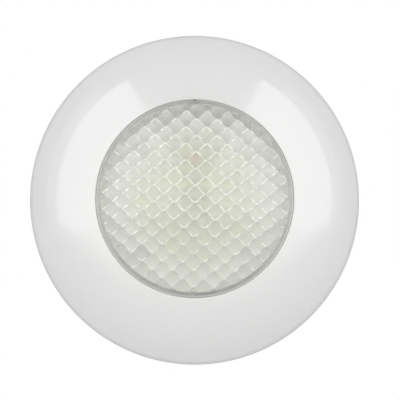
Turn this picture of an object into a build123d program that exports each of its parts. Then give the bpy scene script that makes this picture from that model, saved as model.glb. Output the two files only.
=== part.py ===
from build123d import *
import math
import os

# Surface-mounted underwater pool light, millimetres.
# The lamp is modelled lying on its back: Z is the distance out of the pool wall, Y is up the wall.
# Every piece is stood up as it is written, so that in the files -Y points out of the wall and +Z is up.
# The origin is the centre of the bracket's screw circle, on the wall.

# Front rim
rim_diameter = 230.0
rim_thickness = 3.0
rim_inner_slope = 5.0        # degrees from flat where the rim meets the lens
rim_outer_slope = 36.0       # degrees from flat where the edge rounding begins
rim_edge_round = 3.0         # how far the edge rounding reaches in from the outside
rim_wall_gap = 1.5           # water gap between the rim's skirt and the pool wall
rim_lens_gap = 0.5
rim_above_clamp = 5.6        # front of the rim above the clamp ring
rim_collar_wall = 2.4
rim_lip_round = 0.8

# Lens
lens_diameter = 137.4        # outside, where the side wall leaves the flange
lens_wall_height = 17.5      # from the flange to where the dome begins
lens_draft = 2.4             # how far the side wall leans in over that height
dome_radius = 146.0
lens_wall = 2.6              # thinnest plastic, at the bottom of the prism grooves
flange_width = 5.7
flange_thickness = 2.5
prism_width = 13.9           # diamond across, corner to corner
prism_height = 11.4          # diamond up and down, corner to corner
prism_depth = 1.6
prism_drop = 3.5             # lattice node nearest the middle is this far below it
prism_turn = -1.4            # degrees that the lattice is turned in the lens
prism_margin = 0.4           # plain plastic between the side wall and the prisms
index_width = 3.0
index_depth = 1.4
index_length = 6.0

# Lens clamp and seal
clamp_thickness = 2.5
clamp_width = 13.0
clamp_lens_gap = 0.5
clamp_screw_count = 8
clamp_screw_diameter = 4.0
clamp_screw_length = 9.0
clamp_slot_length = 4.6
clamp_slot_width = 0.9
clamp_slot_depth = 1.3
insert_wall = 0.9
insert_length = 5.5
seal_width = 3.2
seal_height = 2.4

# Housing
housing_floor = 3.0
housing_wall = 3.5
cavity_step = 0.2            # cavity wall, in from the lens's side wall
flange_ring_height = 8.0
recess_gap = 0.5             # around the lens flange in its recess
recess_relief = 0.2          # the clamp presses on the lens flange before it meets the housing
rib_count = 12
rib_thickness = 2.5
rib_height = 7.0
clip_bead = 1.6
clip_bead_height = 3.0
lug_count = 4
lug_reach = 4.0
lug_thickness = 3.0
lug_arc = 22.0               # degrees
lug_stop_arc = 2.5
rim_lug_arc = 20.0
bayonet_gap = 0.5
bayonet_lift = 0.15          # running clearance between the locked lugs

# Stack of boards behind the lens
driver_space = 10.0
spreader_thickness = 3.0
spreader_gap = 1.0
pad_thickness = 0.5
board_thickness = 1.6
led_board_edge = 12.5        # in from the cavity wall
reflector_thickness = 1.2
reflector_rise = 8.0
reflector_lens_gap = 0.8
seat_above_led_board = 0.9
boss_count = 6
boss_edge = 6.5              # boss centres, in from the cavity wall
boss_radius = 4.0

# LEDs, in rings about the middle
led_rings = [(6, 11 / 56), (12, 23 / 56), (18, 35 / 56)]    # count and share of the board's radius
led_size = 5.0
led_height = 1.2
phosphor_radius = 1.9
phosphor_height = 0.4
led_hole_gap = 0.7

# LED board leads
lead_share = 26 / 56         # of the board's radius
lead_radius = 1.5
lead_rise = 2.6
lead_hole_gap = 0.4

# Driver
driver_edge = 13.5           # in from the cavity wall
driver_hole_diameter = 42.0
driver_post_height = 2.5
driver_post_edge = 6.0       # post centres, in from the board's edge
driver_screw_count = 4
small_screw_diameter = 3.0
small_head_diameter = 5.6
small_head_height = 1.7
small_screw_length = 7.0
screw_clearance = 0.2        # around a screw's shank
recess_width = 0.7           # cross recess of the small screws
recess_length = 3.2
part_height = 5.0            # tallest parts on the board
inductor_size = 12.0
inductor_circle = 37.0       # radius
inductor_angles = (150, 210)
inductor_ring = 3.6          # radius of the ring pressed in its top
capacitor_length = 12.0
capacitor_circle = 36.0
capacitor_angles = (-30, -52, 30)
chip_length = 9.0
chip_width = 6.0
chip_height = 2.0
chip_circle = 38.0
chip_angles = (115, 68, 245, 178, 265)
terminal_length = 12.0
terminal_width = 9.0
terminal_circle = 28.0
terminal_pitch = 6.0
terminal_screw_radius = 1.8
terminal_screw_offset = 1.5  # screws, out from the middle of the block
terminal_entry_radius = 1.3
terminal_slot = 0.6

# Cable gland, M20 by 1.5
gland_thread_diameter = 20.0
gland_hex_margin = 7.0       # across flats, over the thread
gland_nut_margin = 5.0
gland_flange = 4.0
gland_outer_length = 10.0
gland_inner_length = 4.5
lock_nut_height = 3.5
cable_diameter = 8.0
bush_wall = 2.9
bush_length = 8.0
gland_bore_gap = 1.2
slip_ring_height = 1.2
gland_nut_end = 2.8
thread_gap = 0.05
gland_seal_width = 2.2
gland_seal_height = 1.4

# Mounting bracket
bracket_diameter = 206.0
bracket_thickness = 4.0
bracket_opening = 52.0
bracket_pad_height = 2.0
bracket_pad_radius = 7.0
bracket_pad_circle = 56.0
peg_radius = 3.0
peg_height = 1.5
peg_gap = 0.3
screw_circle_diameter = 186.0
wall_screw_count = 4
wall_screw_hole = 5.5
lightening_count = 12
lightening_diameter = 15.0
lightening_circle = 40.0
stiffener_height = 3.0
stiffener_width = 2.5
stiffener_inset = 4.0        # from the plate's edge
pocket_count = 12
pocket_arc = 24.0            # degrees
pocket_inner = 58.0          # radius
pocket_outer = 72.0          # radius
pocket_depth = 1.5

# Spring clips
clip_count = 3
clip_width = 12.0
clip_thickness = 0.8
clip_foot = 10.0
clip_gap = 0.4
clip_overlap = 1.0
rivet_radius = 1.6
rivet_head_radius = 2.8
rivet_head_height = 1.0

# Heights above the wall
pad_top = bracket_thickness + bracket_pad_height
floor_top = pad_top + housing_floor
spreader_low = floor_top + driver_space
spreader_high = spreader_low + spreader_thickness
thermal_high = spreader_high + pad_thickness
led_board_high = thermal_high + board_thickness
seat = led_board_high + seat_above_led_board
flange_high = seat + flange_thickness
clamp_high = flange_high + clamp_thickness
rim_front = clamp_high + rim_above_clamp
dome_start = flange_high + lens_wall_height
driver_low = floor_top + driver_post_height
driver_high = driver_low + board_thickness

# Radii
lens_base = lens_diameter / 2
lens_top = lens_base - lens_draft
flange_radius = lens_base + flange_width
recess_radius = flange_radius + recess_gap
cavity_radius = lens_base - cavity_step
boss_circle = cavity_radius - boss_edge
led_board_diameter = 2 * (cavity_radius - led_board_edge)
lead_circle = lead_share * led_board_diameter / 2
driver_diameter = 2 * (cavity_radius - driver_edge)
driver_post_circle = driver_diameter / 2 - driver_post_edge
gland_hex = gland_thread_diameter + gland_hex_margin
gland_nut_hex = gland_thread_diameter + gland_nut_margin
pan_radius = cavity_radius + housing_wall
clamp_outer = lens_base + clamp_lens_gap + clamp_width
clamp_inner = lens_base + clamp_lens_gap
clamp_screw_circle = (recess_radius + clamp_outer) / 2
ring_low = flange_high - recess_relief - flange_ring_height
lug_outer = clamp_outer + lug_reach
lug_low = ring_low + lug_thickness
collar_inner = lug_outer + bayonet_gap
apex = dome_start - math.sqrt(dome_radius**2 - lens_top**2) + dome_radius
dome_centre = apex - dome_radius
pan_inner_bore = lens_top - lens_wall
small_hole = small_screw_diameter / 2 + screw_clearance


def disc(radius, low, high):
    """Solid round plate about the lamp's axis."""
    return Pos(0, 0, low) * Cylinder(radius, high - low, align=(Align.CENTER, Align.CENTER, Align.MIN))


def ring(inner, outer, low, high):
    """Flat ring about the lamp's axis."""
    return disc(outer, low, high) - disc(inner, low, high)


def block(length, width, low, high):
    """Rectangular block standing on a height, centred on the axis."""
    return Pos(0, 0, low) * Box(length, width, high - low, align=(Align.CENTER, Align.CENTER, Align.MIN))


def bore(radius):
    """Cutter for a hole right through a plate."""
    return disc(radius, 0, 2 * rim_front)


def prism(across_flats, low, high):
    """Hexagonal block."""
    outline = RegularPolygon(across_flats / 2, 6, major_radius=False)
    return Pos(0, 0, low) * extrude(outline, high - low)


def turned(outline):
    """Body of revolution from (radius, height) corners."""
    with BuildSketch(Plane.XZ) as section:
        with BuildLine():
            Polyline(*outline, close=True)
        make_face()
    return revolve(section.sketch, Axis.Z)


def arc_band(inner, outer, low, high, middle, sweep):
    """Part of a flat ring, given by its middle angle and its sweep in degrees."""
    with BuildSketch(Plane.XZ) as section:
        with BuildLine():
            Polyline((inner, low), (outer, low), (outer, high), (inner, high), close=True)
        make_face()
    return Rot(0, 0, middle - sweep / 2) * revolve(section.sketch, Axis.Z, sweep)


def around(count, radius, start=0.0):
    """Places on a circle, each turned to face away from the axis."""
    return [Rot(0, 0, start + 360 * i / count) * Pos(radius, 0, 0) for i in range(count)]


def lens_outside(height):
    """Radius of the lens's side wall at a height."""
    return lens_base - lens_draft * (height - flange_high) / lens_wall_height


def pan_screw(low, shank_low):
    """Pan-head screw with a cross recess, head standing on a height."""
    head = disc(small_head_diameter / 2, low, low + small_head_height)
    head = fillet(head.edges().group_by(Axis.Z)[-1], small_head_height * 0.45)
    slot_low = low + small_head_height * 0.45
    slot_high = low + small_head_height + 1
    cross = block(recess_length, recess_width, slot_low, slot_high)
    cross += block(recess_width, recess_length, slot_low, slot_high)
    return head + disc(small_screw_diameter / 2, shank_low, low) - cross


# Rim

def rim_point(centre, radius, slope):
    """Point of a rim arc where the surface leans by the slope."""
    angle = math.radians(slope)
    return (centre[0] + radius * math.sin(angle), centre[1] + radius * math.cos(angle))


rim_radius = rim_diameter / 2
hole_radius = lens_outside(rim_front) + rim_lens_gap
sine_in = math.sin(math.radians(rim_inner_slope))
sine_out = math.sin(math.radians(rim_outer_slope))
lip_radius = hole_radius + rim_lip_round
crown = (rim_radius - rim_edge_round - lip_radius) / (sine_out - sine_in)
crown_centre = (lip_radius - crown * sine_in, rim_front - crown * math.cos(math.radians(rim_inner_slope)))
edge = rim_edge_round / (1 - sine_out)
shoulder = rim_point(crown_centre, crown, rim_outer_slope)
edge_centre = (shoulder[0] - edge * sine_out, shoulder[1] - edge * math.cos(math.radians(rim_outer_slope)))


def rim_underside(radius):
    """Height of the rim's inner face at a radius, on the crown."""
    return crown_centre[1] + math.sqrt((crown - rim_thickness)**2 - (radius - crown_centre[0])**2)


def make_front_rim():
    """Convex cover ring: crown, rounded edge, skirt, and the collar with the bayonet lugs inside."""
    inner_crown = crown - rim_thickness
    inner_edge = edge - rim_thickness
    slopes = (rim_inner_slope + rim_outer_slope) / 2
    edge_slope = (rim_outer_slope + 90) / 2
    hole_slope = math.degrees(math.asin((hole_radius - crown_centre[0]) / inner_crown))
    with BuildSketch(Plane.XZ) as section:
        with BuildLine():
            lip = (lip_radius, rim_front)
            low_lip = (hole_radius, rim_front - rim_lip_round)
            bend = 0.29 * rim_lip_round
            ThreePointArc(low_lip, (hole_radius + bend, rim_front - bend), lip)
            ThreePointArc(lip, rim_point(crown_centre, crown, slopes), shoulder)
            outside = (rim_radius, edge_centre[1])
            ThreePointArc(shoulder, rim_point(edge_centre, edge, edge_slope), outside)
            inside = (rim_radius - rim_thickness, edge_centre[1])
            Polyline(outside, (rim_radius, rim_wall_gap), (inside[0], rim_wall_gap), inside)
            inner_shoulder = rim_point(crown_centre, inner_crown, rim_outer_slope)
            ThreePointArc(inside, rim_point(edge_centre, inner_edge, edge_slope), inner_shoulder)
            inner_lip = (hole_radius, rim_underside(hole_radius))
            mean_slope = (hole_slope + rim_outer_slope) / 2
            ThreePointArc(inner_shoulder, rim_point(crown_centre, inner_crown, mean_slope), inner_lip)
            Line(inner_lip, low_lip)
        make_face()
    rim = revolve(section.sketch, Axis.Z)
    collar_outer = collar_inner + rim_collar_wall
    lug_high = lug_low - bayonet_lift
    collar_low = lug_high - lug_thickness
    collar_high = rim_underside(collar_outer) + rim_thickness / 2
    rim += ring(collar_inner, collar_outer, collar_low, collar_high)
    lug_inner = clamp_outer + bayonet_gap
    for i in range(lug_count):
        rim += arc_band(lug_inner, collar_inner + 0.5, collar_low, lug_high, 360 * i / lug_count, rim_lug_arc)
    return [rim]


# Lens

def groove_family(lean):
    """Cutter for one set of parallel V-grooves inside the dome, all at one depth under its surface."""
    half_width = prism_width / 2
    half_height = prism_height / 2
    pitch = 2 * half_width * half_height / math.hypot(half_width, half_height)
    slant = math.degrees(math.atan2(half_height, half_width)) * lean
    reach = pan_inner_bore
    count = math.ceil(reach / pitch) + 1
    offset = -prism_drop * math.cos(math.radians(slant))
    rows = []
    for i in range(-count, count + 1):
        level = i * pitch + offset
        rows.append((level, math.sqrt((dome_radius - lens_wall)**2 - level**2)))
        if i < count:
            level += pitch / 2
            rows.append((level, math.sqrt((dome_radius - lens_wall)**2 - level**2) - prism_depth))
    low = dome_radius * 0.75
    outline = [(rows[0][0], low)] + rows + [(rows[-1][0], low)]
    with BuildSketch(Plane.YZ) as section:
        with BuildLine():
            Polyline(*outline, close=True)
        make_face()
    sweep = math.degrees(math.asin((reach + 8) / dome_radius)) + 6
    body = Rot(0, -sweep, 0) * revolve(section.sketch, Axis.Y, 2 * sweep)
    return Pos(0, 0, dome_centre) * Rot(0, 0, slant + prism_turn) * body


def make_lens():
    """Domed lens with a flange, a drafted side wall and a diamond lattice of prisms inside the dome."""
    inner_sphere = dome_radius - lens_wall - prism_depth
    inner_top = dome_centre + math.sqrt(inner_sphere**2 - pan_inner_bore**2)
    inner_base = lens_base - lens_wall
    with BuildSketch(Plane.XZ) as section:
        with BuildLine():
            Line((inner_base, seat), (flange_radius, seat))
            Line((flange_radius, seat), (flange_radius, flange_high))
            Line((flange_radius, flange_high), (lens_base, flange_high))
            Line((lens_base, flange_high), (lens_top, dome_start))
            half = math.asin(lens_top / dome_radius) / 2
            crest = (dome_radius * math.sin(half), dome_centre + dome_radius * math.cos(half))
            ThreePointArc((lens_top, dome_start), crest, (0, apex))
            Line((0, apex), (0, dome_centre + inner_sphere))
            half = math.asin(pan_inner_bore / inner_sphere) / 2
            crest = (inner_sphere * math.sin(half), dome_centre + inner_sphere * math.cos(half))
            ThreePointArc((0, dome_centre + inner_sphere), crest, (pan_inner_bore, inner_top))
            Line((pan_inner_bore, inner_top), (inner_base, seat))
        make_face()
    lens = revolve(section.sketch, Axis.Z)
    shoulder_edge = lens.edges().filter_by(GeomType.CIRCLE)
    shoulder_edge = [e for e in shoulder_edge if abs(e.radius - lens_top) < 0.01]
    lens = fillet(shoulder_edge, 1.5)
    core = disc(pan_inner_bore - prism_margin, inner_top - 8, apex)
    for lean in (1, -1):
        lens -= groove_family(lean) & core
    index = Pos(0, flange_radius - flange_width + clamp_lens_gap + 1, 0) * block(
        index_width, 2 * index_depth, flange_high - 0.5, clamp_high - 0.5)
    inner_mark = Pos(0, pan_inner_bore - 0.2, 0) * block(
        index_width, 2 * index_depth, inner_top - index_length, inner_top - 0.5)
    mark_room = disc(lens_outside(inner_top) - 1, inner_top - index_length - 1, inner_top)
    return [lens + index + (inner_mark & mark_room)]


def make_lens_seal():
    """Moulded square-section seal under the lens flange, corners eased."""
    middle = (cavity_radius + recess_radius) / 2
    seal = ring(middle - seal_width / 2, middle + seal_width / 2, seat - seal_height, seat)
    return [fillet(seal.edges(), 0.5)]


def screw_places():
    """Clamp screws, clear of the index notch at the top."""
    return around(clamp_screw_count, clamp_screw_circle, 180 / clamp_screw_count)


def make_clamp_ring():
    """Ring that presses the lens flange on the seal, countersunk for its screws."""
    clamp = ring(clamp_inner, clamp_outer, flange_high, clamp_high)
    hole = disc(clamp_screw_diameter / 2 + 0.25, flange_high - 1, clamp_high + 1)
    sink = Pos(0, 0, clamp_high - clamp_screw_diameter / 2) * Cone(
        clamp_screw_diameter / 2 + 0.05, clamp_screw_diameter + 0.05, clamp_screw_diameter / 2,
        align=(Align.CENTER, Align.CENTER, Align.MIN))
    clamp -= [place * (hole + sink) for place in screw_places()]
    notch = Pos(0, clamp_inner, 0) * block(
        index_width + 0.6, 4 * index_depth + 2, flange_high - 1, clamp_high + 1)
    return [clamp - notch]


def make_clamp_screws():
    """Countersunk screws with cross recesses."""
    radius = clamp_screw_diameter / 2
    head = Pos(0, 0, clamp_high - radius) * Cone(
        radius, 2 * radius, radius, align=(Align.CENTER, Align.CENTER, Align.MIN))
    shank = disc(radius, clamp_high - clamp_screw_length, clamp_high - radius)
    slot_low = clamp_high - clamp_slot_depth
    cross = block(clamp_slot_length, clamp_slot_width, slot_low, clamp_high + 1)
    cross += block(clamp_slot_width, clamp_slot_length, slot_low, clamp_high + 1)
    screw = head + shank - cross
    return [place * screw for place in screw_places()]


insert_high = flange_high - recess_relief
insert_low = insert_high - insert_length


def make_threaded_inserts():
    """Knurled brass inserts moulded in the housing ring."""
    radius = clamp_screw_diameter / 2
    insert = ring(radius + thread_gap, radius + insert_wall, insert_low, insert_high)
    return [place * insert for place in screw_places()]


# Housing

def lug_places():
    """Middle angles of the bayonet lugs."""
    return [360 * i / lug_count for i in range(lug_count)]


def make_housing():
    """Back pan with a flange ring, ribs, bosses, posts and bayonet lugs."""
    ring_high = flange_high - recess_relief
    body = turned([
        (0, pad_top), (pan_radius, pad_top), (pan_radius, ring_low), (clamp_outer, ring_low),
        (clamp_outer, ring_high), (recess_radius, ring_high), (recess_radius, seat),
        (cavity_radius, seat), (cavity_radius, floor_top), (0, floor_top)])
    middle = (cavity_radius + recess_radius) / 2
    body -= ring(middle - seal_width / 2, middle + seal_width / 2, seat - seal_height, seat)
    rib_reach = clamp_outer - pan_radius
    rib = Pos(pan_radius + rib_reach / 2 - 0.5, 0, 0) * block(
        rib_reach + 1, rib_thickness, ring_low - rib_height, ring_low + 0.5)
    for place in around(rib_count, 0, 180 / rib_count):
        body += place * rib
    bead_low = pad_top + clip_bead
    bead = turned([
        (pan_radius - 1, bead_low), (pan_radius, bead_low),
        (pan_radius + clip_bead, bead_low + clip_bead_height / 2),
        (pan_radius, bead_low + clip_bead_height), (pan_radius - 1, bead_low + clip_bead_height)])
    body += bead
    for angle in lug_places():
        body += arc_band(clamp_outer - 0.5, lug_outer, lug_low, lug_low + lug_thickness, angle, lug_arc)
        stop = angle - rim_lug_arc / 2 - lug_stop_arc / 2 - 0.4
        body += arc_band(clamp_outer - 0.5, lug_outer, ring_low, lug_low + 0.5, stop, lug_stop_arc)
    pilot = small_screw_diameter / 2 + thread_gap
    for place in around(boss_count, boss_circle):
        boss = disc(boss_radius, floor_top - 0.5, spreader_low)
        body += place * boss
        body -= place * disc(pilot, spreader_low - small_screw_length, spreader_low)
    for place in around(driver_screw_count, driver_post_circle, 45):
        body += place * disc(boss_radius - 0.5, floor_top - 0.5, driver_low)
        body -= place * disc(pilot, driver_low - driver_post_height - 1.5, driver_low)
    body -= disc(gland_thread_diameter / 2 + 0.2, pad_top - 1, floor_top + 1)
    insert_hole = disc(clamp_screw_diameter / 2 + insert_wall, insert_low, ring_high + 1)
    tip_hole = disc(clamp_screw_diameter / 2 + 0.3, clamp_high - clamp_screw_length - 0.5, insert_low + 1)
    body -= [place * (insert_hole + tip_hole) for place in screw_places()]
    for place in peg_places():
        body -= place * disc(peg_radius + peg_gap, pad_top - 1, pad_top + peg_height + peg_gap)
    return [body]


# Boards and light engine

def make_heat_spreader():
    """Aluminium plate that carries the LED board."""
    plate = disc(cavity_radius - spreader_gap, spreader_low, spreader_high)
    plate = chamfer(plate.edges(), 0.4)
    plate -= [place * bore(small_hole) for place in around(boss_count, boss_circle)]
    plate -= [place * bore(small_screw_diameter / 2 + thread_gap) for place in board_screw_places()]
    plate -= [place * bore(lead_radius + lead_hole_gap) for place in lead_places()]
    return [plate]


def make_spreader_screws():
    """Screws from the heat spreader into the housing bosses."""
    shank_low = spreader_high - small_screw_length
    return [place * pan_screw(spreader_high, shank_low) for place in around(boss_count, boss_circle)]


def board_screw_places():
    """Screws near the LED board's edge."""
    return around(driver_screw_count, led_board_diameter / 2 - 6, 45)


def lead_places():
    """The two leads, above and below the middle."""
    return around(2, lead_circle, 90)


def make_thermal_pad():
    """Soft pad between the heat spreader and the LED board."""
    pad = disc(led_board_diameter / 2 - 1, spreader_high, thermal_high)
    pad -= [place * bore(small_hole) for place in board_screw_places()]
    pad -= [place * bore(lead_radius + lead_hole_gap) for place in lead_places()]
    return [pad]


def make_led_board():
    """Round metal-core circuit board."""
    board = disc(led_board_diameter / 2, thermal_high, led_board_high)
    board -= [place * bore(small_hole) for place in board_screw_places()]
    board -= [place * bore(lead_radius + lead_hole_gap) for place in lead_places()]
    return [board]


def make_board_screws():
    """Screws that hold the LED board down on the heat spreader."""
    shank_low = spreader_low + 0.3
    return [place * pan_screw(led_board_high, shank_low) for place in board_screw_places()]


def led_places():
    """All LEDs, ring by ring; each ring starts half a step past the leads."""
    places = []
    for count, share in led_rings:
        places += around(count, share * led_board_diameter / 2, 90 + 180 / count)
    return places


def make_leds():
    """White plastic LED packages with a round well."""
    package = block(led_size, led_size, led_board_high, led_board_high + led_height)
    package = chamfer(package.edges().filter_by(Axis.Z), 0.5)
    package -= disc(phosphor_radius, led_board_high + led_height - 0.5, led_board_high + led_height + 1)
    return [place * package for place in led_places()]


def make_phosphor():
    """Domed phosphor fill of each LED's well."""
    low = led_board_high + led_height - 0.5
    high = led_board_high + led_height + phosphor_height
    fill = disc(phosphor_radius, low, high)
    fill = fillet(fill.edges().group_by(Axis.Z)[-1], phosphor_height * 0.9)
    return [place * fill for place in led_places()]


def make_reflector():
    """White dish around the LEDs, with a leaning wall at its edge."""
    top = led_board_high + reflector_thickness
    rise = reflector_rise
    lens_inside = lens_outside(top + rise) - lens_wall - reflector_lens_gap
    wall = reflector_thickness
    foot = lens_inside - rise * 0.6
    dish = turned([
        (0, led_board_high), (foot, led_board_high),
        (lens_inside, top + rise), (lens_inside - wall, top + rise),
        (foot - wall * 0.6, top), (0, top)])
    hole = block(led_size + 2 * led_hole_gap, led_size + 2 * led_hole_gap, led_board_high - 1, top + 1)
    dish -= [place * hole for place in led_places()]
    head_hole = disc(small_head_diameter / 2 + 0.4, led_board_high - 1, top + 1)
    dish -= [place * head_hole for place in board_screw_places()]
    dish -= [place * bore(lead_radius + lead_hole_gap) for place in lead_places()]
    return [dish]


def make_leads():
    """Two sleeved leads from the driver board up through the LED board."""
    lead = disc(lead_radius, driver_high, led_board_high + lead_rise)
    lead = fillet(lead.edges().group_by(Axis.Z)[-1], lead_radius * 0.6)
    return [place * lead for place in lead_places()]


# Driver

def make_driver_board():
    """Ring-shaped circuit board around the cable gland."""
    board = ring(driver_hole_diameter / 2, driver_diameter / 2, driver_low, driver_high)
    hole = bore(small_hole)
    board -= [place * hole for place in around(driver_screw_count, driver_post_circle, 45)]
    return [board]


def make_driver_screws():
    """Screws that hold the driver board on its posts."""
    shank_low = driver_low - driver_post_height - 1.0
    return [place * pan_screw(driver_high, shank_low)
            for place in around(driver_screw_count, driver_post_circle, 45)]


def make_inductors():
    """Two shielded power inductors, each with a ring pressed in its top."""
    top = driver_high + part_height
    case = block(inductor_size, inductor_size, driver_high, top)
    case = fillet(case.edges().filter_by(Axis.Z), inductor_size / 6)
    case -= ring(inductor_ring, inductor_ring + 0.6, top - 0.4, top + 1)
    return [Rot(0, 0, angle) * Pos(inductor_circle, 0, 0) * case for angle in inductor_angles]


def make_capacitors():
    """Three electrolytic cans lying on the board."""
    radius = part_height / 2
    can = Cylinder(radius, capacitor_length, rotation=(90, 0, 0))
    can = fillet(can.edges(), radius / 5)
    can = Pos(0, 0, driver_high + radius) * can
    return [Rot(0, 0, angle) * Pos(capacitor_circle, 0, 0) * can for angle in capacitor_angles]


def make_chips():
    """Controller, bridge and power switches."""
    chip = block(chip_width, chip_length, driver_high, driver_high + chip_height)
    chip = chamfer(chip.edges().group_by(Axis.Z)[-1], 0.15 * chip_height)
    return [Rot(0, 0, angle) * Pos(chip_circle, 0, 0) * chip for angle in chip_angles]


def terminal_places():
    """The two screws of the terminal block."""
    radius = terminal_circle + terminal_screw_offset
    return [Pos(radius, side * terminal_pitch / 2, 0) for side in (-1, 1)]


def make_terminal_block():
    """Two-way screw terminal for the supply cable, beside the gland."""
    top = driver_high + part_height
    case = Pos(terminal_circle, 0, 0) * block(terminal_width, terminal_length, driver_high, top)
    well = disc(terminal_screw_radius, driver_high + 2, top + 1)
    entry_length = terminal_width / 2 + terminal_screw_offset
    entry = Cylinder(terminal_entry_radius, entry_length, rotation=(0, 90, 0))
    entry = Pos(-entry_length / 2 - 1, 0, driver_high + 2.2) * entry
    for place in terminal_places():
        case -= place * (well + entry)
    return [case]


def make_terminal_screws():
    """Slotted screws of the terminal block."""
    low = driver_high + 2
    high = low + 2.2
    screw = disc(terminal_screw_radius - thread_gap, low, high)
    screw -= block(part_height, terminal_slot, high - 0.8, high + 1)
    return [place * Rot(0, 0, 35) * screw for place in terminal_places()]


# Cable gland

gland_radius = gland_thread_diameter / 2
bush_outer = cable_diameter / 2 + bush_wall
flange_low = pad_top - gland_flange
gland_end = flange_low - gland_outer_length


def make_gland_body():
    """Hexagonal flange with a thread each side, a through bore and a socket for the bush."""
    body = prism(gland_hex, flange_low, pad_top)
    body += disc(gland_radius, pad_top - 1, floor_top + gland_inner_length)
    body += disc(gland_radius, gland_end, flange_low + 1)
    body -= disc(cable_diameter / 2 + gland_bore_gap, gland_end - 1, floor_top + gland_inner_length + 1)
    body -= disc(bush_outer + 0.1, gland_end - 1, gland_end + bush_length)
    middle = (gland_radius + gland_hex / 2) / 2
    half = gland_seal_width / 2
    body -= ring(middle - half, middle + half, pad_top - gland_seal_height, pad_top + 1)
    return [body]


def make_gland_seal():
    """Seal ring between the gland's flange and the housing."""
    middle = (gland_radius + gland_hex / 2) / 2
    half = gland_seal_width / 2
    seal = ring(middle - half, middle + half, pad_top - gland_seal_height, pad_top)
    return [fillet(seal.edges(), 0.3)]


def make_lock_nut():
    """Thin nut that holds the gland from inside the housing."""
    nut = prism(gland_hex, floor_top, floor_top + lock_nut_height)
    return [nut - disc(gland_radius + thread_gap, floor_top - 1, floor_top + lock_nut_height + 1)]


def make_gland_bush():
    """Rubber bush that is squeezed onto the cable."""
    bush = ring(cable_diameter / 2, bush_outer, gland_end, gland_end + bush_length)
    return [bush]


def make_slip_ring():
    """Washer that keeps the turning nut from twisting the bush."""
    return [ring(cable_diameter / 2 + 0.4, bush_outer + 1.2, gland_end - slip_ring_height, gland_end)]


def make_gland_nut():
    """Hexagonal cap nut with a round nose."""
    nose = gland_end - slip_ring_height - gland_nut_end
    skirt = flange_low - 0.8
    nut = prism(gland_nut_hex, gland_end, skirt)
    nut = nut & turned([
        (0, gland_end - 1), (gland_nut_hex / 2, gland_end - 1), (gland_nut_hex / 2 * 1.155, gland_end + 1.5),
        (gland_nut_hex / 2 * 1.155, skirt), (0, skirt)])
    nut += turned([
        (0, nose), (gland_nut_hex / 2 - 4, nose), (gland_nut_hex / 2 - 1, nose + 2.5),
        (gland_nut_hex / 2 - 0.5, gland_end + 1), (0, gland_end + 1)])
    nut -= disc(gland_radius + thread_gap, gland_end - slip_ring_height, skirt + 1)
    nut -= disc(cable_diameter / 2 + 0.6, nose - 1, gland_end)
    return [nut]


# Bracket

def peg_places():
    """Locating pegs that stop the head turning on the bracket."""
    return around(2, bracket_pad_circle, 0)


def clip_places():
    """Spring clips, one at the bottom and two above."""
    return around(clip_count, 0, -90)


clip_inside = pan_radius + clip_gap
clip_foot_top = bracket_thickness + clip_thickness
rivet_circle = clip_inside + clip_foot * 0.6


def make_bracket():
    """Wall plate with pads, pegs, screw holes and a stiffening rib."""
    outer = bracket_diameter / 2
    plate = ring(bracket_opening / 2, outer, 0, bracket_thickness)
    plate = chamfer(plate.edges().group_by(Axis.Z)[-1].sort_by(SortBy.RADIUS)[-1], 1.0)
    fused = bracket_thickness - 0.5
    stiffener_outer = outer - stiffener_inset
    stiffener_high = bracket_thickness + stiffener_height
    plate += ring(stiffener_outer - stiffener_width, stiffener_outer, fused, stiffener_high)
    opening = bracket_opening / 2
    plate += ring(opening, opening + stiffener_width, fused, pad_top - 0.5)
    for place in around(6, bracket_pad_circle):
        plate += place * disc(bracket_pad_radius, bracket_thickness - 0.5, pad_top)
    for place in peg_places():
        peg = disc(peg_radius, pad_top - 0.5, pad_top + peg_height)
        plate += place * chamfer(peg.edges().group_by(Axis.Z)[-1], 0.5)
    holes = around(wall_screw_count, screw_circle_diameter / 2, 45)
    for place in holes:
        plate += place * disc(wall_screw_hole, bracket_thickness - 0.5, bracket_thickness + 1)
    plate -= [place * disc(wall_screw_hole / 2, -1, bracket_thickness + 2) for place in holes]
    light = disc(lightening_diameter / 2, -1, bracket_thickness + 1)
    plate -= [place * light for place in around(lightening_count, lightening_circle, 15)]
    for i in range(pocket_count):
        middle = 360 * (i + 0.5) / pocket_count
        plate -= arc_band(pocket_inner, pocket_outer, -1, pocket_depth, middle, pocket_arc)
    rivet = disc(rivet_radius + thread_gap, -1, bracket_thickness + 1)
    recess = disc(rivet_head_radius + 0.2, -1, rivet_head_height)
    plate -= [place * Pos(rivet_circle, 0, 0) * (rivet + recess) for place in clip_places()]
    return [plate]


def make_clips():
    """Leaf springs: a foot on the bracket, an upright and a nose over the housing's bead."""
    bead_top = pad_top + clip_bead + clip_bead_height
    t = clip_thickness
    x0 = clip_inside + clip_bead
    nose_z = bead_top + clip_overlap
    outline = [
        (x0 + clip_foot, bracket_thickness), (x0 + clip_foot, bracket_thickness + t),
        (x0 + t, bracket_thickness + t),
        (x0 + t, nose_z - 1.2), (clip_inside + t * 0.7, nose_z + 0.4), (x0 + t + 0.6, nose_z + 4),
        (x0 + 0.6, nose_z + 4.4), (clip_inside, nose_z + 0.8), (clip_inside, nose_z - 0.2),
        (x0, nose_z - 1.8), (x0, bracket_thickness)]
    with BuildSketch(Plane.XZ) as section:
        with BuildLine():
            Polyline(*outline, close=True)
        make_face()
    clip = extrude(section.sketch, clip_width / 2, both=True)
    clip -= Pos(rivet_circle, 0, 0) * disc(rivet_radius + thread_gap, 0, clip_foot_top + 1)
    return [place * clip for place in clip_places()]


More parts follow.
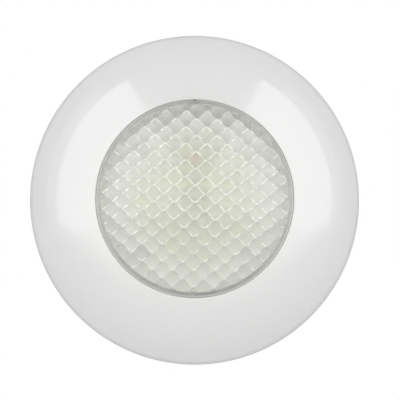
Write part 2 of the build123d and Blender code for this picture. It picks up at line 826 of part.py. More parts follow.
def make_rivets():
    """Rivets through each clip's foot."""
    rivet = disc(rivet_radius, 0.1, clip_foot_top)
    rivet += disc(rivet_head_radius, 0.1, rivet_head_height)
    rivet += disc(rivet_head_radius, clip_foot_top, clip_foot_top + rivet_head_height)
    return [place * Pos(rivet_circle, 0, 0) * rivet for place in clip_places()]


pieces = {
    "front_rim": make_front_rim,
    "lens": make_lens,
    "lens_seal": make_lens_seal,
    "clamp_ring": make_clamp_ring,
    "clamp_screws": make_clamp_screws,
    "threaded_inserts": make_threaded_inserts,
    "housing_shell": make_housing,
    "heat_spreader": make_heat_spreader,
    "spreader_screws": make_spreader_screws,
    "thermal_pad": make_thermal_pad,
    "led_board": make_led_board,
    "led_board_screws": make_board_screws,
    "led_packages": make_leds,
    "led_phosphor": make_phosphor,
    "reflector_dish": make_reflector,
    "led_leads": make_leads,
    "driver_board": make_driver_board,
    "driver_screws": make_driver_screws,
    "driver_inductors": make_inductors,
    "driver_capacitors": make_capacitors,
    "driver_chips": make_chips,
    "terminal_block": make_terminal_block,
    "terminal_screws": make_terminal_screws,
    "gland_body": make_gland_body,
    "gland_seal": make_gland_seal,
    "gland_lock_nut": make_lock_nut,
    "gland_bush": make_gland_bush,
    "gland_slip_ring": make_slip_ring,
    "gland_nut": make_gland_nut,
    "mounting_bracket": make_bracket,
    "bracket_clips": make_clips,
    "clip_rivets": make_rivets,
}

os.makedirs("parts", exist_ok=True)
stand_up = Rot(90, 0, 0)
for name, make in pieces.items():
    solids = [stand_up * piece for piece in make()]
    shape = solids[0] if len(solids) == 1 else Compound(children=solids)
    export_step(shape, f"parts/{name}.step")
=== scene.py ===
# %% [markdown]
# # Underwater pool light
#
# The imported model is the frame: a wall bracket, a sealed head, a bayonet rim and a cable gland. This script
# gives every piece its finish, replaces the plain lens with one whose pillow prisms are modelled in full,
# and lights the result as a studio product shot.
#
# Units are metres. -Y points out of the pool wall, +Z is up, and the origin is the middle of the wall plate.

# %% Load the frame
import math

import bpy
import numpy as np
from mathutils import Matrix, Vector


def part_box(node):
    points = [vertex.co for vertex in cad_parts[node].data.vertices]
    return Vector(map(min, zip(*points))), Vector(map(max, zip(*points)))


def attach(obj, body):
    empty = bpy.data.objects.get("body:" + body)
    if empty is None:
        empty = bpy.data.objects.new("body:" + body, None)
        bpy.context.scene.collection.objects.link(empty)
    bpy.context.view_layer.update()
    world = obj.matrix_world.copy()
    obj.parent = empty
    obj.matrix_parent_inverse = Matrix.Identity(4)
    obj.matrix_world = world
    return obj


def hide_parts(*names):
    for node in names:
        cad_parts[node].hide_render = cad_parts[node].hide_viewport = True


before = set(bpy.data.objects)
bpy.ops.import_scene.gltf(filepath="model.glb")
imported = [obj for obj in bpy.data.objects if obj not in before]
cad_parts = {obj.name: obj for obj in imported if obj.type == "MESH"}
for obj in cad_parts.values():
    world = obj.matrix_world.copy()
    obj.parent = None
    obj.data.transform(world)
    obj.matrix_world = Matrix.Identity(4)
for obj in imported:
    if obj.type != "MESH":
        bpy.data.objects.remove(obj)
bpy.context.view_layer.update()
MM = 0.001

# %% [markdown]
# ## Sizes read from the frame
#
# The lens's box gives its flange radius, the height of its seat and the top of the dome. The rim's box gives
# the outer radius. What a box can't tell, such as the dome's radius or the size of a prism, is named here.

# %% Sizes
lens_low, lens_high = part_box("lens")
rim_low, rim_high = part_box("front_rim")

flange_radius = (lens_high[0] - lens_low[0]) / 2
seat = -lens_high[1]
apex = -lens_low[1]
rim_radius = (rim_high[0] - rim_low[0]) / 2
rim_front = -rim_low[1]

flange_thickness = 2.5 * MM
wall_height = 17.5 * MM
wall_draft = 2.4 * MM
wall_base = flange_radius - 5.7 * MM
wall_top = wall_base - wall_draft
shell = 2.6 * MM
shoulder_round = 1.5 * MM
dome_radius = 146.0 * MM
dome_centre = apex - dome_radius
flange_top = seat + flange_thickness
dome_start = flange_top + wall_height

prism_width = 13.9 * MM
prism_height = 11.4 * MM
prism_depth = 1.6 * MM
prism_drop = 3.5 * MM
prism_turn = math.radians(-1.4)
prism_zone = wall_top - shell - 0.2 * MM

print(f"lens: flange radius {flange_radius / MM:.1f}, seat {seat / MM:.1f}, apex {apex / MM:.1f} mm")
print(f"rim: radius {rim_radius / MM:.1f}, front {rim_front / MM:.1f} mm")

# %% [markdown]
# ## A small class for shader maths
#
# Procedural materials are arithmetic on sockets. `Value` wraps one number socket of a node tree, so that a
# formula in the text is the same formula in the tree. Colours are mixed by `Shader.mix`, and any other node
# is made by `Shader.node`, which takes the node's type, its settings and its inputs.

# %% Shader maths
class Value:
    """A number socket that can be used in formulas."""

    def __init__(self, shader, socket):
        self.shader = shader
        self.socket = socket

    def combined(self, operation, inputs):
        """Result of a Math node on inputs in this order."""
        return Value(self.shader, self.shader.node("ShaderNodeMath", {"operation": operation}, inputs))

    def maths(self, operation, *others):
        """Result of a Math node on this value and the others."""
        return self.combined(operation, [self, *others])

    def __add__(self, other):
        return self.maths("ADD", other)

    def __radd__(self, other):
        return self.maths("ADD", other)

    def __sub__(self, other):
        return self.maths("SUBTRACT", other)

    def __rsub__(self, other):
        return self.combined("SUBTRACT", [other, self])

    def __mul__(self, other):
        return self.maths("MULTIPLY", other)

    def __rmul__(self, other):
        return self.maths("MULTIPLY", other)

    def __truediv__(self, other):
        return self.maths("DIVIDE", other)

    def __rtruediv__(self, other):
        return self.combined("DIVIDE", [other, self])

    def __pow__(self, other):
        return self.maths("POWER", other)

    def ramp(self, low, high):
        """0 at low, 1 at high, smooth between them."""
        settings = {"interpolation_type": "SMOOTHSTEP"}
        return Value(self.shader, self.shader.node(
            "ShaderNodeMapRange", settings, {"Value": self, "From Min": low, "From Max": high}, "Result"))


class Shader:
    """One material's node tree, built from Object coordinates."""

    def __init__(self, name):
        self.material = bpy.data.materials.new(name)
        self.material.use_nodes = True
        self.tree = self.material.node_tree
        self.surface = self.tree.nodes["Principled BSDF"]
        self.output = self.tree.nodes["Material Output"]
        self.place = self.node("ShaderNodeTexCoord", {}, {}, "Object")
        split = self.node("ShaderNodeSeparateXYZ", {}, {"Vector": self.place}, None)
        self.x, self.y, self.z = [Value(self, split.outputs[axis]) for axis in "XYZ"]

    def node(self, kind, settings, inputs, output=0):
        """A node with its settings and inputs set or linked.

        Gives one output, or the node itself if output is None.
        """
        node = self.tree.nodes.new(kind)
        for key, value in settings.items():
            setattr(node, key, value)
        pairs = inputs.items() if isinstance(inputs, dict) else enumerate(inputs)
        for key, value in pairs:
            if isinstance(value, Value):
                value = value.socket
            if isinstance(value, bpy.types.NodeSocket):
                self.tree.links.new(value, node.inputs[key])
            else:
                node.inputs[key].default_value = value
        return node if output is None else node.outputs[output]

    def noise(self, scale, detail=2.0, stretch=(1.0, 1.0, 1.0)):
        """Noise between about 0 and 1, with its scale in bumps per metre."""
        place = self.node("ShaderNodeMapping", {}, {"Vector": self.place, "Scale": stretch})
        inputs = {"Vector": place, "Scale": scale, "Detail": detail}
        return Value(self, self.node("ShaderNodeTexNoise", {}, inputs))

    def radius(self):
        """Distance from the lamp's axis."""
        return (self.x * self.x + self.z * self.z) ** 0.5

    def mix(self, factor, first, second):
        """Colour between two colours."""
        return self.node("ShaderNodeMix", {"data_type": "RGBA"}, {0: factor, 6: first, 7: second}, 2)

    def put(self, **inputs):
        """Sets or links the surface's own inputs, such as base_color=... or roughness=..."""
        for key, value in inputs.items():
            socket = self.surface.inputs[key.replace("_", " ").title().replace("Ior", "IOR")]
            if isinstance(value, Value):
                value = value.socket
            if isinstance(value, bpy.types.NodeSocket):
                self.tree.links.new(value, socket)
            else:
                socket.default_value = value

    def bump(self, height, distance, strength=1.0):
        """Feeds a height into the surface's normal. Distance is the height's full size in metres."""
        inputs = {"Height": height, "Distance": distance, "Strength": strength}
        self.put(normal=self.node("ShaderNodeBump", {}, inputs))


def grey(level):
    """An opaque neutral colour."""
    return (level, level, level, 1.0)


print("shader classes ready")

# %% [markdown]
# ## Plastics
#
# Moulded plastic is never one colour. Each of these has a faint cloud of a second tone, a roughness that
# wanders a little, and a fine grain or an orange-peel wave in its normal. The rim's wave is long and shallow,
# because a polished mould leaves a surface that bends reflections without blurring them.

# %% Plastics
def rim_plastic():
    """Polished white cover: clear gloss over a very slight long wave."""
    s = Shader("rim gloss white")
    cloud = s.noise(14.0)
    s.put(base_color=s.mix(cloud, (0.755, 0.755, 0.75, 1), (0.78, 0.78, 0.775, 1)))
    s.put(roughness=0.11 + 0.05 * s.noise(60.0), coat_weight=0.8 + 0.2 * cloud)
    s.put(coat_roughness=0.05, ior=1.58)
    s.bump(s.noise(26.0, 1.0), 0.00012, 0.35)
    return s.material


def moulded(name, dark, light, rough=0.42, grain=900.0, depth=0.00006):
    """Satin moulded plastic with a spark-eroded grain."""
    s = Shader(name)
    cloud = s.noise(35.0, 3.0)
    s.put(base_color=s.mix(cloud, (*dark, 1), (*light, 1)))
    s.put(roughness=(rough - 0.06) + 0.12 * s.noise(120.0))
    s.bump(s.noise(grain, 3.0), depth, 0.5)
    return s.material


rim_white = rim_plastic()
housing_white = moulded("housing satin white", (0.60, 0.61, 0.61), (0.68, 0.69, 0.68), 0.38)
bracket_white = moulded("bracket satin white", (0.62, 0.62, 0.61), (0.70, 0.70, 0.69), 0.45)
clamp_white = moulded("clamp glass-filled white", (0.66, 0.67, 0.66), (0.72, 0.73, 0.72), 0.45, 1400.0)
nylon_black = moulded("gland nylon", (0.016, 0.017, 0.018), (0.028, 0.029, 0.031), 0.42, 1100.0)
chip_black = moulded("chip epoxy", (0.012, 0.012, 0.013), (0.022, 0.022, 0.024), 0.55, 3000.0, 0.00003)
ferrite_grey = moulded("ferrite", (0.03, 0.03, 0.033), (0.055, 0.055, 0.06), 0.6, 2500.0)
terminal_green = moulded("terminal green", (0.01, 0.11, 0.06), (0.02, 0.16, 0.09), 0.4, 1500.0)
led_white = moulded("LED package white", (0.74, 0.74, 0.70), (0.82, 0.82, 0.78), 0.35, 4000.0, 0.00002)
print("plastics:", len(bpy.data.materials))

# %% [markdown]
# ## Rubber and metal
#
# Rubber scatters almost everything and has a dust-fine grain. On metal one noise drives tone, roughness
# and bump together, as brush marks do. Stainless steel and the milled plate are brushed one way, so their
# noise is stretched along it.

# %% Rubber and metal
def rubber(name, dark, light, rough):
    """Matt elastomer with a dust-fine grain."""
    s = Shader(name)
    s.put(base_color=s.mix(s.noise(80.0, 4.0), (*dark, 1), (*light, 1)))
    s.put(roughness=rough + 0.1 * s.noise(300.0))
    s.bump(s.noise(1800.0, 4.0), 0.00005, 0.6)
    return s.material


def metal(name, dark, light, rough, stretch=(1.0, 1.0, 1.0), grain=700.0):
    """Bare metal; a stretch below 1 draws its brush marks out along that axis."""
    s = Shader(name)
    brush = s.noise(grain, 3.0, stretch)
    s.put(base_color=s.mix(brush, (*dark, 1), (*light, 1)), metallic=1.0)
    s.put(roughness=rough + 0.14 * brush)
    s.bump(brush, 0.00003, 0.5)
    return s.material


seal_white = rubber("seal silicone", (0.52, 0.53, 0.52), (0.62, 0.63, 0.61), 0.6)
bush_black = rubber("gland bush rubber", (0.01, 0.01, 0.01), (0.024, 0.023, 0.022), 0.8)
pad_blue = rubber("thermal pad", (0.20, 0.27, 0.36), (0.28, 0.35, 0.44), 0.85)
sleeve_orange = rubber("lead sleeve", (0.62, 0.27, 0.10), (0.74, 0.35, 0.14), 0.45)
stainless = metal("stainless", (0.50, 0.50, 0.51), (0.62, 0.62, 0.63), 0.22, (1.0, 1.0, 0.15))
brass = metal("brass insert", (0.62, 0.42, 0.16), (0.76, 0.55, 0.24), 0.25)
milled = metal("milled aluminium", (0.66, 0.67, 0.68), (0.80, 0.81, 0.82), 0.28, (0.1, 1.0, 1.0), 500.0)
can_metal = metal("capacitor can", (0.58, 0.59, 0.60), (0.70, 0.71, 0.72), 0.2)
print("metals and rubbers ready")

# %% [markdown]
# ## Boards, reflector and phosphor
#
# A circuit board is solder mask over copper, and the mask is a little lighter where copper lies under it.
# Real tracks could be drawn one by one, but at this size rings are enough: a wave of the radius, disturbed by
# noise and cut off by a ramp. The reflector and the phosphor are seen only through the lens, so a slow change
# of tone is all that they need. The reflector's tone is painted shade: greyed below white, and darker and
# yellower towards the middle.

# %% Boards, reflector and phosphor
def board(name, mask, copper, tracks):
    """Solder mask that is lighter over copper; tracks is rings of copper per metre."""
    s = Shader(name)
    wave = (s.radius() * (tracks * 2 * math.pi)).maths("SINE")
    patch = (wave + 1.2 * (s.noise(90.0, 1.0) - 0.5)).ramp(0.15, 0.3)
    s.put(base_color=s.mix(patch, (*mask, 1), (*copper, 1)))
    s.put(roughness=0.32 + 0.1 * s.noise(400.0))
    s.bump(patch, 0.00004, 0.6)
    return s.material


def reflector():
    """Reflector dish with painted shade: greyed all over, and darker and yellower towards the middle."""
    s = Shader("reflector white with painted shade")
    # painted shade: the ramp makes the dish darker and yellower towards the middle, and both tones are greyed
    # below white
    edge = s.radius().ramp(0.015, 0.06)
    s.put(base_color=s.mix(edge, (0.60, 0.60, 0.55, 1), (0.68, 0.68, 0.66, 1)))
    s.put(roughness=0.30 + 0.1 * s.noise(70.0))
    s.bump(s.noise(500.0), 0.00004, 0.4)
    return s.material


def phosphor():
    """Yellow-green fill of an unlit white LED."""
    s = Shader("LED phosphor")
    s.put(base_color=s.mix(s.noise(900.0, 3.0), (0.60, 0.64, 0.16, 1), (0.72, 0.75, 0.24, 1)))
    s.put(roughness=0.25 + 0.1 * s.noise(600.0), coat_weight=0.4)
    return s.material


led_board = board("LED board mask", (0.74, 0.75, 0.72), (0.80, 0.81, 0.78), 180.0)
driver_board = board("driver board mask", (0.005, 0.075, 0.03), (0.012, 0.13, 0.05), 320.0)
dish_painted_shade = reflector()
phosphor_fill = phosphor()
print("materials:", len(bpy.data.materials))

# %% [markdown]
# ## Clear polycarbonate
#
# One moulding, three surfaces. The outer dome is polished. The side wall is sand-blasted, so a white scatter
# is mixed into it. The prism surface inside is etched, which blurs the LEDs, while the rounded grooves
# between its pillows are left bright and catch the light as fine lines.
#
# Each of them bends light, so it is a transmitting surface. Shadow rays pass it as a tinted transparent
# shader: otherwise the studio's panels could reach the dish behind it only by chance.

# %% Lens materials
groove_reach = 0.075
wall_scatter = 0.75
groove_shine = 0.35
shadow_tint = (0.93, 0.94, 0.92, 1)


def through_light(s, surface):
    """Ends the tree: the surface for every ray but shadow rays, which pass straight through."""
    clear = s.node("ShaderNodeBsdfTransparent", {}, {"Color": shadow_tint})
    ray = s.node("ShaderNodeLightPath", {}, {}, "Is Shadow Ray")
    mixed = s.node("ShaderNodeMixShader", {}, {0: ray, 1: surface, 2: clear})
    s.tree.links.new(mixed, s.output.inputs["Surface"])
    return s.material


def clear_shader(name, rough):
    """The transmitting surface that the three have in common."""
    s = Shader(name)
    cloud = s.noise(40.0, 2.0)
    s.put(base_color=s.mix(cloud, (0.90, 0.91, 0.885, 1), (0.925, 0.93, 0.905, 1)))
    s.put(transmission_weight=1.0, ior=1.52, roughness=rough + 0.3 * rough * cloud)
    return s


def second_surface(s, colour, rough, metallic):
    """Another reflecting surface to mix in."""
    inputs = {"Base Color": colour, "Roughness": rough, "Metallic": metallic}
    return s.node("ShaderNodeBsdfPrincipled", {}, inputs)


def polished_dome():
    """Outside of the dome, with a very faint wave."""
    s = clear_shader("polished dome", 0.03)
    s.bump(s.noise(45.0, 1.0), 0.00008, 0.25)
    return through_light(s, s.surface.outputs[0])


def blasted_wall():
    """Side wall and flange, most of it white scatter."""
    s = clear_shader("blasted side wall", 0.5)
    white = second_surface(s, (0.86, 0.86, 0.85, 1), 0.6, 0.0)
    mixed = s.node("ShaderNodeMixShader", {}, {0: wall_scatter, 1: s.surface.outputs[0], 2: white})
    return through_light(s, mixed)


def groove_mask(s):
    """1 on the grooves between pillows and 0 elsewhere, from the same lattice as the mesh."""
    across = (s.x * math.cos(prism_turn) + s.z * math.sin(prism_turn)) / prism_width
    upward = (s.z * math.cos(prism_turn) - s.x * math.sin(prism_turn) + prism_drop) / prism_height
    masks = []
    for way in (across + upward, across - upward):
        from_middle = (way.maths("FRACT") - 0.5).maths("ABSOLUTE")
        masks.append(from_middle.ramp(0.5 - groove_reach, 0.5 - 0.3 * groove_reach))
    return masks[0].maths("MAXIMUM", masks[1])


def etched_prisms():
    """Inside of the dome, with bright grooves."""
    s = clear_shader("etched prisms", 0.42)
    bright = second_surface(s, (0.95, 0.95, 0.93, 1), 0.16, 1.0)
    share = groove_mask(s) * groove_shine
    mixed = s.node("ShaderNodeMixShader", {}, {0: share, 1: s.surface.outputs[0], 2: bright})
    return through_light(s, mixed)


lens_dome = polished_dome()
lens_wall = blasted_wall()
lens_prisms = etched_prisms()
print("lens materials ready")

# %% [markdown]
# ## The prism lattice
#
# The inside of the dome is covered with diamond pillows. Lattice coordinates (u, v) run along the two groove
# directions, with whole numbers on the grooves. In a cell, s and t are u and v counted from its middle, and
# the pillow's height is
#
#     f = 1 - 2 (s² + t²)
#
# which is a spherical cap: 1 in the middle, 1/2 half-way along a groove and 0 where two grooves cross. The
# sample lines crowd towards the grooves, because the crease is what catches the light.

# %% Lattice points
def crowded(cells, steps):
    """Coordinates from -cells to cells with steps samples per cell, closer together at whole numbers."""
    even = np.arange(-cells * steps, cells * steps + 1) / steps
    return even - 0.75 / (2 * np.pi) * np.sin(2 * np.pi * even)


def pillow(x, z, groove=0.07):
    """Height from 0 to 1 of the pillow over a place on the lens, with the groove's bottom rounded."""
    across = (x * math.cos(prism_turn) + z * math.sin(prism_turn)) / prism_width
    upward = (z * math.cos(prism_turn) - x * math.sin(prism_turn) + prism_drop) / prism_height
    u = across + upward
    v = across - upward
    s = 0.5 - np.abs(u - np.floor(u) - 0.5)
    t = 0.5 - np.abs(v - np.floor(v) - 0.5)
    s = 0.5 - (np.sqrt(s**2 + groove**2) - groove)
    t = 0.5 - (np.sqrt(t**2 + groove**2) - groove)
    return 1 - 2 * (s**2 + t**2)


cell_steps = 14
cell_count = int(math.ceil(prism_zone / prism_height * 2)) + 2
line = crowded(cell_count, cell_steps)
u, v = np.meshgrid(line, line, indexing="ij")
across = (u + v) * prism_width / 2
upward = (u - v) * prism_height / 2 - prism_drop
lattice_x = across * math.cos(prism_turn) - upward * math.sin(prism_turn)
lattice_z = across * math.sin(prism_turn) + upward * math.cos(prism_turn)
print(f"lattice: {line.size} x {line.size} samples, {cell_steps} per cell")

# %% [markdown]
# ## The lens as one closed mesh
#
# The lattice is cut to the prism zone: samples outside it are pulled in radially onto the zone's circle, and
# quads that lie wholly outside are dropped. The samples left on the border are put in order round their loop
# and spread to angles that only rise. The side wall, the flange and the outer dome are turned on those same
# angles, so every ring meets the next and the mesh is closed.

# %% Lens mesh
def border_loop(quads):
    """Border points in their order round the loop.

    A border edge is used by one quad only. Following those edges one by one is slow, so each point's rank is
    found by pointer jumping: in every round a point adds the rank of the point it looks at, and then looks
    twice as far ahead.
    """
    edges = np.concatenate([quads[:, [k, (k + 1) % 4]] for k in range(4)])
    base = edges.max() + 1
    alone = ~np.isin(edges[:, 0] * base + edges[:, 1], edges[:, 1] * base + edges[:, 0])
    start, end = edges[alone].T
    order = np.argsort(start)
    start, end = start[order], end[order]
    ahead = np.searchsorted(start, end)
    rank = np.ones(start.size, dtype=int)
    root = 0
    rank[root] = 0
    ahead[root] = root
    for _round in range(int(math.ceil(math.log2(start.size)))):
        rank = rank + rank[ahead]
        ahead = ahead[ahead]
    return start[np.argsort(rank)]


def spread(angles):
    """Angles of the loop made strictly rising: sorted, then averaged with their neighbours 1 2 3 2 1."""
    rising = np.sort(np.unwrap(angles))
    padded = np.concatenate([rising[-2:] - 2 * np.pi, rising, rising[:2] + 2 * np.pi])
    return np.convolve(padded, np.array([1, 2, 3, 2, 1]) / 9, "valid")


def lattice_inside():
    """Points and quads of the prism surface, its border loop and the loop's angles."""
    radius = np.hypot(lattice_x, lattice_z).ravel()
    pull = np.minimum(1.0, prism_zone / np.maximum(radius, 1e-9))
    x = lattice_x.ravel() * pull
    z = lattice_z.ravel() * pull
    n = line.size
    index = np.arange(n * n).reshape(n, n)
    quads = np.stack([index[:-1, :-1], index[1:, :-1], index[1:, 1:], index[:-1, 1:]], -1).reshape(-1, 4)
    quads = quads[(radius < prism_zone)[quads].any(1)]
    used, quads = np.unique(quads, return_inverse=True)
    quads = quads.reshape(-1, 4)
    x, z = x[used], z[used]
    border = border_loop(quads)
    angles = spread(np.arctan2(z[border], x[border]))
    x[border] = prism_zone * np.cos(angles)
    z[border] = prism_zone * np.sin(angles)
    thick = shell + prism_depth * pillow(x, z)
    reach = np.sqrt((dome_radius - thick) ** 2 - x**2 - z**2)
    return np.stack([x, -(dome_centre + reach), z], -1), quads, border, angles


def turned_rings(outline, angles):
    """Points of a profile of (radius, distance out) corners, turned to the given angles."""
    outline = np.asarray(outline)
    x = outline[:, :1] * np.cos(angles)
    z = outline[:, :1] * np.sin(angles)
    y = np.repeat(-outline[:, 1:], angles.size, 1)
    return np.stack([x, y, z], -1).reshape(-1, 3)


def arc(centre, radius, start, end, count):
    """(radius, distance out) points of an arc; angles in degrees from the axis."""
    angle = np.radians(np.linspace(start, end, count))
    return np.stack([centre[0] + radius * np.sin(angle), centre[1] + radius * np.cos(angle)], -1)


def lens_profile():
    """From the prism zone down the inner wall, round the flange, up the outer wall and over the dome."""
    reach = math.sqrt((dome_radius - shell) ** 2 - prism_zone**2)
    inner = [(wall_top - shell, dome_centre + reach - prism_depth - 0.4 * MM), (wall_base - shell, seat)]
    foot = [(flange_radius, seat), (flange_radius, flange_top), (wall_base + 0.4 * MM, flange_top)]
    foot += [(wall_base, flange_top + 0.4 * MM)]
    lean = math.degrees(math.atan2(wall_draft, wall_height))
    tilt = math.degrees(math.asin(wall_top / dome_radius))
    corner_angle = math.radians((90 - lean - tilt) / 2)
    back = shoulder_round * math.tan(corner_angle)
    lean_sin = math.sin(math.radians(lean))
    lean_cos = math.cos(math.radians(lean))
    wall_end = (wall_top + back * lean_sin, dome_start - back * lean_cos)
    centre = (wall_end[0] - shoulder_round * lean_cos, wall_end[1] - shoulder_round * lean_sin)
    corner = arc(centre, shoulder_round, 90 - lean, tilt, 9)
    dome = arc((0, dome_centre), dome_radius, tilt - math.degrees(back / dome_radius), 0.6, 44)
    return np.concatenate([inner, foot, corner, dome])


DOME, WALL, PRISMS = 0, 1, 2
wall_steps = 7      # profile steps from the prisms' edge to the top of the outer side wall


def lens_mesh():
    """The whole lens as points, faces and the number of each face's surface."""
    points, quads, border, angles = lattice_inside()
    outline = lens_profile()
    rings = turned_rings(outline, angles)
    first = len(points)
    count = angles.size
    index = first + np.arange(len(rings)).reshape(-1, count)
    index = np.vstack([border[None, :], index])
    a = index[:-1]
    b = index[1:]
    sides = np.stack([a, np.roll(a, -1, 1), np.roll(b, -1, 1), b], -1).reshape(-1, 4)
    surface = np.full(len(index) - 1, DOME)
    surface[:wall_steps] = WALL
    pole = first + len(rings)
    last = index[-1]
    cap = np.stack([last, np.roll(last, -1), np.full(count, pole)], -1)
    points = np.vstack([points, rings, [[0, -apex, 0]]])
    surface = np.concatenate([np.full(len(quads), PRISMS), np.repeat(surface, count), np.full(count, DOME)])
    return points, np.vstack([quads, sides]), cap, surface


def mesh_object(name, points, quads, triangles=None):
    """A smooth mesh object from whole arrays."""
    parts = [np.asarray(quads).ravel()]
    sizes = [np.full(len(quads), 4)]
    if triangles is not None:
        parts.append(np.asarray(triangles).ravel())
        sizes.append(np.full(len(triangles), 3))
    corners = np.concatenate(parts).astype(np.int32)
    sizes = np.concatenate(sizes).astype(np.int32)
    mesh = bpy.data.meshes.new(name)
    mesh.vertices.add(len(points))
    mesh.vertices.foreach_set("co", np.asarray(points, dtype=np.float32).ravel())
    mesh.loops.add(len(corners))
    mesh.loops.foreach_set("vertex_index", corners)
    mesh.polygons.add(len(sizes))
    mesh.polygons.foreach_set("loop_start", (np.cumsum(sizes) - sizes).astype(np.int32))
    mesh.update(calc_edges=True)
    mesh.validate()
    mesh.shade_smooth()
    piece = bpy.data.objects.new(name, mesh)
    bpy.context.scene.collection.objects.link(piece)
    return piece


lens_points, lens_quads, lens_cap, lens_surface = lens_mesh()
lens = mesh_object("prismatic_lens", lens_points, lens_quads, lens_cap)
lens.data.set_sharp_from_angle(angle=math.radians(50))
for material in (lens_dome, lens_wall, lens_prisms):
    lens.data.materials.append(material)
lens.data.polygons.foreach_set("material_index", lens_surface.astype(np.int32))
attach(lens, "light_head")
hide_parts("lens")
triangles = 2 * len(lens_quads) + len(lens_cap)
print(f"lens mesh: {len(lens_points)} points, {triangles} triangles")

# %% [markdown]
# ## Index mark
#
# A small tab on the top of the lens's side wall shows the assembler which way up the lattice goes. It could
# be a bevelled cube, but a superellipsoid gives the soft edges of a moulding at once: each coordinate is a
# cosine or sine raised to a power below one, which pushes a sphere out towards a box.

# %% Index mark
def soft_box(centre, half_sizes, power=0.35, rows=16, columns=32):
    """Closed superellipsoid.

    Its points are (c(a) c(b), c(a) s(b), s(a)), with c and s the signed powers of cosine and sine.
    """
    a = np.linspace(-np.pi / 2, np.pi / 2, rows + 1)[1:-1, None]
    b = np.linspace(0, 2 * np.pi, columns, endpoint=False)[None, :]

    def powered(value):
        return np.sign(value) * np.abs(value) ** power

    unit = np.stack(np.broadcast_arrays(
        powered(np.cos(a)) * powered(np.cos(b)),
        powered(np.cos(a)) * powered(np.sin(b)),
        powered(np.sin(a))), -1)
    points = np.vstack([unit.reshape(-1, 3), [[0, 0, -1], [0, 0, 1]]]) * half_sizes + centre
    index = np.arange((rows - 1) * columns).reshape(rows - 1, columns)
    low, high = index[:-1], index[1:]
    quads = np.stack([low, np.roll(low, -1, 1), np.roll(high, -1, 1), high], -1).reshape(-1, 4)
    south, north = len(points) - 2, len(points) - 1
    first, last = index[0], index[-1]
    caps = np.vstack([np.stack([np.roll(first, -1), first, np.full(columns, south)], -1),
                      np.stack([last, np.roll(last, -1), np.full(columns, north)], -1)])
    return points, quads, caps


mark_half = np.array([1.5, 2.6, 0.7]) * MM
mark_drop = 3.5 * MM
mark_radius = wall_top + wall_draft * mark_drop / wall_height
mark_centre = np.array([0.0, -(dome_start - mark_drop), mark_radius])
mark_grey = moulded("index tab grey", (0.16, 0.16, 0.15), (0.22, 0.22, 0.21), 0.4, 1500.0)
index_mark = mesh_object("index_mark", *soft_box(mark_centre, mark_half))
index_mark.data.materials.append(mark_grey)
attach(index_mark, "light_head")
print("index mark at", mark_centre.round(4))

# %% [markdown]
# ## Finishes of the CAD pieces
#
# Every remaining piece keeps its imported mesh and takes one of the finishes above. A table from finish to
# pieces is easier to read and to change than thirty separate lines.

# %% Assign materials
finishes = {
    rim_white: ["front_rim"],
    housing_white: ["housing_shell"],
    bracket_white: ["mounting_bracket"],
    clamp_white: ["clamp_ring"],
    nylon_black: ["gland_body", "gland_lock_nut", "gland_slip_ring", "gland_nut"],
    chip_black: ["driver_chips"],
    ferrite_grey: ["driver_inductors"],
    terminal_green: ["terminal_block"],
    led_white: ["led_packages"],
    seal_white: ["lens_seal", "gland_seal"],
    bush_black: ["gland_bush"],
    pad_blue: ["thermal_pad"],
    sleeve_orange: ["led_leads"],
    stainless: ["clamp_screws", "spreader_screws", "led_board_screws", "driver_screws", "terminal_screws",
                "bracket_clips", "clip_rivets"],
    brass: ["threaded_inserts"],
    milled: ["heat_spreader"],
    can_metal: ["driver_capacitors"],
    led_board: ["led_board"],
    driver_board: ["driver_board"],
    dish_painted_shade: ["reflector_dish"],
    phosphor_fill: ["led_phosphor"],
    lens_dome: ["lens"],
}
for material, nodes in finishes.items():
    for node in nodes:
        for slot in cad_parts[node].material_slots:
            slot.material = material
print("nodes with a finish:", sum(len(nodes) for nodes in finishes.values()), "of", len(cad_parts))

# %% [markdown]
# ## Studio
#
# The rim is a mirror of the room as much as it is white, so the light on each side is a curved panel, with a
# gap between the two sides above and a wider one below. A panel is a sector of a ring about the line of sight
# mirrored in the lamp's axis. Its lower end is weaker, and so is the wide ring outside it, which makes the
# reflection fade towards the rim's edge. The panels light the lamp but the camera doesn't see them.

# %% Light panels
view_elevation = math.radians(-2.1)
view_turn = math.radians(0.4)
camera_distance = 1.165
side = np.array([math.cos(view_turn), -math.sin(view_turn), 0.0])
level = np.array([-math.sin(view_turn), -math.cos(view_turn), 0.0])
out = level * math.cos(view_elevation) + np.array([0.0, 0.0, math.sin(view_elevation)])
up = np.cross(out, side)
target = np.array([0.0037, -0.014, -0.0002])
mirrored = out * (-1, 1, -1)

panel_distance = 1.35
panel_inner = 0.20
panel_middle = 1.7
panel_outer = 2.6
sectors = {     # first and last angle from the top, inner and outer radius, strength
    "panel": (29, 105, panel_inner, panel_middle, 2.0),
    "panel end": (105, 142, panel_inner, panel_middle, 1.5),
    "panel edge": (40, 142, panel_middle, panel_outer, 0.9),
}


def panel(name, start, end, inner, outer, power):
    """Emitting ring sector about the line of sight. Angles in degrees clockwise from the top."""
    turn = np.radians(np.linspace(start, end, 25))
    reach = np.linspace(inner, outer, 9)
    upward = np.cross(mirrored, side)
    way = np.sin(turn)[None, :, None] * side + np.cos(turn)[None, :, None] * upward
    points = (mirrored * panel_distance + reach[:, None, None] * way).reshape(-1, 3)
    index = np.arange(len(points)).reshape(reach.size, turn.size)
    quads = np.stack([index[:-1, :-1], index[:-1, 1:], index[1:, 1:], index[1:, :-1]], -1).reshape(-1, 4)
    piece = mesh_object(name, points, quads)
    s = Shader(name)
    s.put(base_color=grey(0.0), emission_color=grey(1.0), emission_strength=power)
    piece.data.materials.append(s.material)
    piece.visible_camera = False


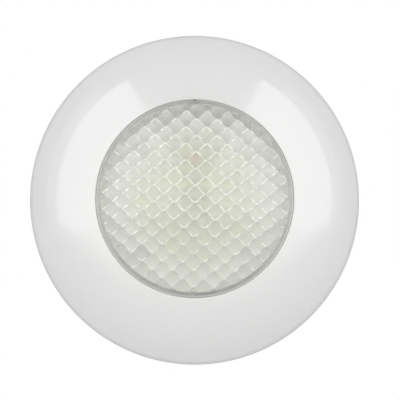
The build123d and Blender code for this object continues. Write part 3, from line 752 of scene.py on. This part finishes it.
for hand, hand_name in ((1, "right"), (-1, "left")):
    for part, (start, end, inner, outer, power) in sectors.items():
        panel(f"{part} {hand_name}", *sorted((hand * start, hand * end)), inner, outer, power)
print("panels:", 2 * len(sectors))

# %% [markdown]
# ## World and floor
#
# The world is white to the camera and about half as bright to everything else, so the background stays clean
# while the rim keeps its shading. The floor lies under the lamp and sends some light back up.

# %% World and floor
room_strength = 0.52
backdrop_strength = 1.0
floor_gap = 0.12
floor_half_width = 2.0
floor_front = -3.0
floor_back = 1.0

world = bpy.data.worlds.new("studio")
bpy.context.scene.world = world
world.use_nodes = True
tree = world.node_tree
background = tree.nodes["Background"]
ray = tree.nodes.new("ShaderNodeLightPath")
strength = tree.nodes.new("ShaderNodeMix")
strength.inputs[2].default_value = room_strength
strength.inputs[3].default_value = backdrop_strength
tree.links.new(ray.outputs["Is Camera Ray"], strength.inputs[0])
tree.links.new(strength.outputs[0], background.inputs["Strength"])
background.inputs["Color"].default_value = grey(1.0)

floor_height = -rim_radius - floor_gap
corners = np.array([
    (-floor_half_width, floor_front, floor_height),
    (floor_half_width, floor_front, floor_height),
    (floor_half_width, floor_back, floor_height),
    (-floor_half_width, floor_back, floor_height),
])
floor = mesh_object("floor", corners, [[0, 1, 2, 3]])
floor_shader = Shader("floor")
floor_shader.put(base_color=floor_shader.mix(floor_shader.noise(3.0), grey(0.88), grey(0.91)), roughness=0.7)
floor.data.materials.append(floor_shader.material)
print("floor at", round(floor_height, 3))

# %% [markdown]
# ## Camera
#
# A long lens looks at the lamp from a little below its middle and a little to one side, far enough away that
# the rim's circle stays a circle. The camera's axes are the same three directions that place the panels.

# %% Camera
camera_data = bpy.data.cameras.new("camera")
camera_data.lens = 150.0
camera_data.sensor_width = 36.0
camera = bpy.data.objects.new("camera", camera_data)
bpy.context.scene.collection.objects.link(camera)
place = target + out * camera_distance
turn = np.stack([side, up, out], 1)
camera.matrix_world = Matrix.Translation(place.tolist()) @ Matrix(turn.tolist()).to_4x4()
bpy.context.scene.camera = camera
bpy.context.scene.view_settings.view_transform = "Standard"
print("camera at", place.round(3))
